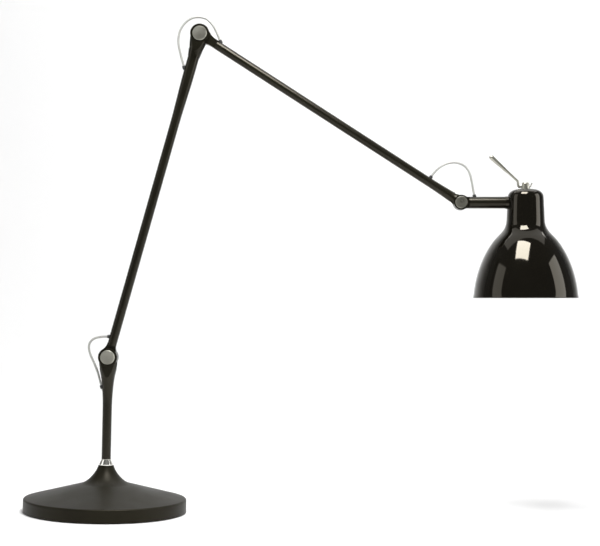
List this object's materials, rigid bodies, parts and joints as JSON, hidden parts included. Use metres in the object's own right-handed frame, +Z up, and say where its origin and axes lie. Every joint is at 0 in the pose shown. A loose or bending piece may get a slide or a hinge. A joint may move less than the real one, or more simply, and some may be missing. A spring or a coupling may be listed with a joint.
{
  "type": "architect desk lamp",
  "caption": "Friction-jointed desk lamp: weighted round foot, short swivelling post, two long arms, short forearm and a spun bell shade with a switch lever.",
  "frame": {"origin": "centre of the foot's underside, on the surface that the lamp stands on", "axes": "+Z up; the arms lie in the XZ plane at rest and reach towards +X; +Y is away from the front tension caps"},
  "size_m": [0.7288, 0.217, 0.6604],
  "materials": {
    "foot_enamel": "satin brown-black enamel",
    "shade_enamel": "high-gloss black enamel, white inside",
    "arm_enamel": "semi-gloss brown-black enamel",
    "cast_iron": "rough cast",
    "chrome": "polished",
    "nickel": "worn nickel plate",
    "steel": "zinc-plated",
    "brass": "machined",
    "friction_fibre": "pale moulded nylon",
    "felt": "dark felt",
    "rubber": "moulded",
    "flex_sheath": "translucent grey PVC",
    "holder_plastic": "moulded phenolic",
    "glass": "opal"
  },
  "bodies": {
    "base": {"foot_cover": "foot_enamel", "foot_weight": "cast_iron", "foot_plate": "steel", "foot_screws": "steel", "felt_pad": "felt", "mains_gland": "rubber", "terminal_block": "holder_plastic", "swivel_bush": "brass", "collar_ring": "chrome", "thrust_washer": "friction_fibre", "cable_foot": "flex_sheath"},
    "post": {"post_spigot": "steel", "spigot_nut": "steel", "post_tube": "arm_enamel", "post_fork": "arm_enamel", "post_pivot_bolt": "nickel", "post_tension_cap": "nickel", "post_cap_screw": "nickel", "post_friction_washers": "friction_fibre", "cable_post": "flex_sheath", "cable_loop_lower": "flex_sheath"},
    "lower_arm": {"lower_arm_tongue": "arm_enamel", "lower_arm_tube": "arm_enamel", "lower_arm_fork": "arm_enamel", "crown_pivot_bolt": "nickel", "crown_tension_cap": "nickel", "crown_cap_screw": "nickel", "crown_friction_washers": "friction_fibre", "cable_lower_arm": "flex_sheath", "cable_loop_crown": "flex_sheath"},
    "upper_arm": {"upper_arm_tongue": "arm_enamel", "upper_arm_tube": "arm_enamel", "upper_arm_fork": "arm_enamel", "elbow_pivot_bolt": "nickel", "elbow_tension_cap": "nickel", "elbow_cap_screw": "nickel", "elbow_friction_washers": "friction_fibre", "cable_upper_arm": "flex_sheath", "cable_loop_elbow": "flex_sheath"},
    "forearm": {"forearm_tongue": "arm_enamel", "forearm_tube": "arm_enamel", "forearm_plug": "brass", "forearm_nipple": "brass", "nipple_nut": "brass", "cable_forearm": "flex_sheath"},
    "head": {"shade": "shade_enamel", "shade_saddles": "shade_enamel", "holder_bracket": "steel", "lampholder_cap": "holder_plastic", "holder_nut": "steel", "lampholder_body": "holder_plastic", "lampholder_contacts": "brass", "lamp_cap": "nickel", "lamp_glass": "glass", "switch_body": "holder_plastic", "switch_nut": "nickel", "cable_head": "flex_sheath"},
    "lever": {"switch_lever": "nickel", "hub_nut": "nickel", "switch_shaft": "nickel"}
  },
  "joints": [
    {"name": "post_swivel", "type": "hinge", "parent": "base", "child": "post", "pos_m": [0, 0, 0.0623], "axis": [0, 0, 1], "range_deg": [-170, 170]},
    {"name": "lower_arm_hinge", "type": "hinge", "parent": "post", "child": "lower_arm", "pos_m": [0, 0, 0.205], "axis": [0, 1, 0], "range_deg": [-35, 25], "deforming": ["cable_loop_lower"]},
    {"name": "upper_arm_hinge", "type": "hinge", "parent": "lower_arm", "child": "upper_arm", "pos_m": [0.1123, 0, 0.63611], "axis": [0, 1, 0], "range_deg": [-75, 25], "deforming": ["cable_loop_crown"]},
    {"name": "elbow_hinge", "type": "hinge", "parent": "upper_arm", "child": "forearm", "pos_m": [0.46321, 0, 0.42023], "axis": [0, 1, 0], "range_deg": [-55, 60], "deforming": ["cable_loop_elbow"]},
    {"name": "shade_roll", "type": "hinge", "parent": "forearm", "child": "head", "pos_m": [0.54919, 0, 0.42211], "axis": [0.9998, 0, 0.0218], "range_deg": [-80, 80]},
    {"name": "lever_turn", "type": "hinge", "parent": "head", "child": "lever", "pos_m": [0.54919, 0, 0.42211], "axis": [-0.0218, 0, 0.9998], "range_deg": [0, 60]}
  ]
}
